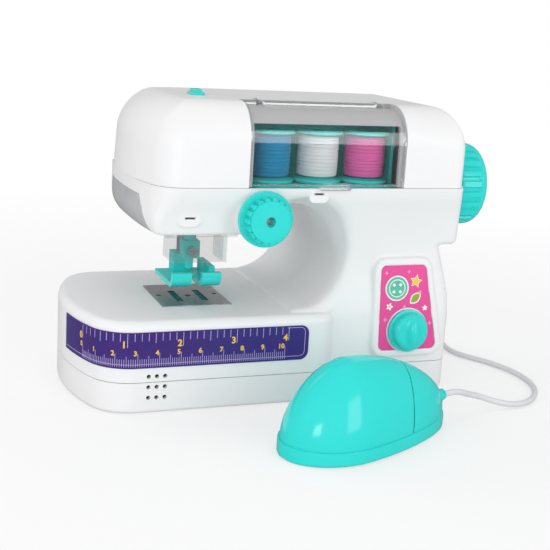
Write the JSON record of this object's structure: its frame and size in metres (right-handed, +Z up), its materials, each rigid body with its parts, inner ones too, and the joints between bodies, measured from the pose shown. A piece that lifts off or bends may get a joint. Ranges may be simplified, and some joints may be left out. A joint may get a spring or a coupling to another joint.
{
  "type": "toy sewing machine",
  "caption": "Toy sewing machine with a clear hinged lid over thread spools, a turning handwheel, sliding needle and presser foot, a ruler on the bed and a foot pedal on a cord.",
  "frame": {"origin": "on the underside of the base, midway along its length and depth", "axes": "+X towards the handwheel, -Y towards the front where the ruler is, +Z up"},
  "size_m": [0.2354, 0.1877, 0.1426],
  "materials": {
    "white_plastic": "satin moulded",
    "teal_plastic": "glossy moulded",
    "clear_plastic": "clear moulded",
    "steel": "plain",
    "bronze": "plain",
    "nylon": "natural",
    "belt_rubber": "matt",
    "blue_thread": "spun",
    "white_thread": "spun",
    "pink_thread": "spun",
    "pink_label": "printed film",
    "purple_label": "printed film",
    "dark_plastic": "matt",
    "circuit_board": "lacquered",
    "cell_jacket": "printed sleeve",
    "cord_sheath": "smooth"
  },
  "bodies": {
    "machine": {"base_pan": "white_plastic", "front_housing": "white_plastic", "rear_housing": "white_plastic", "top_cover": "white_plastic", "lid_pins": "steel", "spool_tray": "teal_plastic", "shaft_bushes": "bronze", "motor": "steel", "timing_belt": "belt_rubber", "needle_guard": "clear_plastic", "needle_plate": "steel", "lamp_lens": "clear_plastic", "lamp_board": "circuit_board", "tension_stud": "steel", "rotary_switch": "dark_plastic", "panel_label": "pink_label", "ruler_label": "purple_label", "speaker": "dark_plastic", "battery_cells": "cell_jacket", "battery_door": "white_plastic", "control_board": "circuit_board", "base_screws": "steel", "housing_screws": "steel", "jack_socket": "dark_plastic", "jack_plug": "cord_sheath", "pedal_cord": "cord_sheath", "pedal_base": "teal_plastic", "pedal_tail_cap": "teal_plastic", "pedal_pin": "steel", "pedal_spring": "steel", "presser_spring": "steel"},
    "drive": {"handwheel": "teal_plastic", "main_shaft": "steel", "crank": "steel", "drive_gear": "nylon", "upper_pulley": "nylon"},
    "motor_pinion": {"motor_pinion": "nylon"},
    "lower_drive": {"lower_shaft": "steel", "lower_pulley": "nylon", "looper": "steel"},
    "needle_slide": {"needle_bar": "teal_plastic", "needle": "steel", "needle_screw": "steel"},
    "presser": {"presser_bar": "steel", "presser_foot": "teal_plastic", "presser_lifter": "white_plastic"},
    "feed": {"feed_dog": "steel"},
    "tension": {"tension_dial": "teal_plastic"},
    "selector": {"selector_knob": "teal_plastic"},
    "lid": {"window_lid": "clear_plastic"},
    "spool_left": {"spool_1": "teal_plastic", "thread_pack_1": "blue_thread", "thread_winding_1": "blue_thread"},
    "spool_middle": {"spool_2": "teal_plastic", "thread_pack_2": "white_thread", "thread_winding_2": "white_thread"},
    "spool_right": {"spool_3": "teal_plastic", "thread_pack_3": "pink_thread", "thread_winding_3": "pink_thread"},
    "treadle": {"pedal_cover": "teal_plastic"}
  },
  "joints": [
    {"name": "handwheel_turn", "type": "hinge", "parent": "machine", "child": "drive", "pos_m": [0.1, -0.008, 0.0985], "axis": [1, 0, 0], "continuous": true},
    {"name": "motor_turn", "type": "hinge", "parent": "machine", "child": "motor_pinion", "pos_m": [0.069, -0.008, 0.0742], "axis": [1, 0, 0], "continuous": true},
    {"name": "lower_shaft_turn", "type": "hinge", "parent": "machine", "child": "lower_drive", "pos_m": [0.02, -0.008, 0.026], "axis": [1, 0, 0], "continuous": true},
    {"name": "needle_stroke", "type": "slide", "parent": "machine", "child": "needle_slide", "axis": [0, 0, 1], "range_m": [-0.009, 0]},
    {"name": "presser_lift", "type": "slide", "parent": "machine", "child": "presser", "axis": [0, 0, 1], "range_m": [-0.007, 0]},
    {"name": "feed_stroke", "type": "slide", "parent": "machine", "child": "feed", "axis": [0, 1, 0], "range_m": [-0.0015, 0.0015]},
    {"name": "tension_turn", "type": "hinge", "parent": "machine", "child": "tension", "pos_m": [-0.016, -0.055, 0.089], "axis": [0, -1, 0], "range_deg": [-150, 150]},
    {"name": "selector_turn", "type": "hinge", "parent": "machine", "child": "selector", "pos_m": [0.0632, -0.0432, 0.03157], "axis": [0, -0.9965, 0.0837], "range_deg": [-60, 60]},
    {"name": "lid_open", "type": "hinge", "parent": "machine", "child": "lid", "pos_m": [0.017, -0.02, 0.1384], "axis": [-1, 0, 0], "range_deg": [0, 80]},
    {"name": "spool_left_spin", "type": "hinge", "parent": "machine", "child": "spool_left", "pos_m": [-0.0073, -0.028, 0.115], "axis": [0, 0, 1], "continuous": true},
    {"name": "spool_middle_spin", "type": "hinge", "parent": "machine", "child": "spool_middle", "pos_m": [0.017, -0.028, 0.115], "axis": [0, 0, 1], "continuous": true},
    {"name": "spool_right_spin", "type": "hinge", "parent": "machine", "child": "spool_right", "pos_m": [0.0413, -0.028, 0.115], "axis": [0, 0, 1], "continuous": true},
    {"name": "treadle_press", "type": "hinge", "parent": "machine", "child": "treadle", "pos_m": [0.02659, -0.09813, 0.007], "axis": [0.2756, -0.9613, 0], "range_deg": [0, 2.5], "stiffness_Nm_per_rad": 0.3, "springref_deg": -5.73}
  ],
  "couplings": [
    {"joint": "motor_turn", "follows": "handwheel_turn", "ratio": -3},
    {"joint": "lower_shaft_turn", "follows": "handwheel_turn", "ratio": 1}
  ]
}
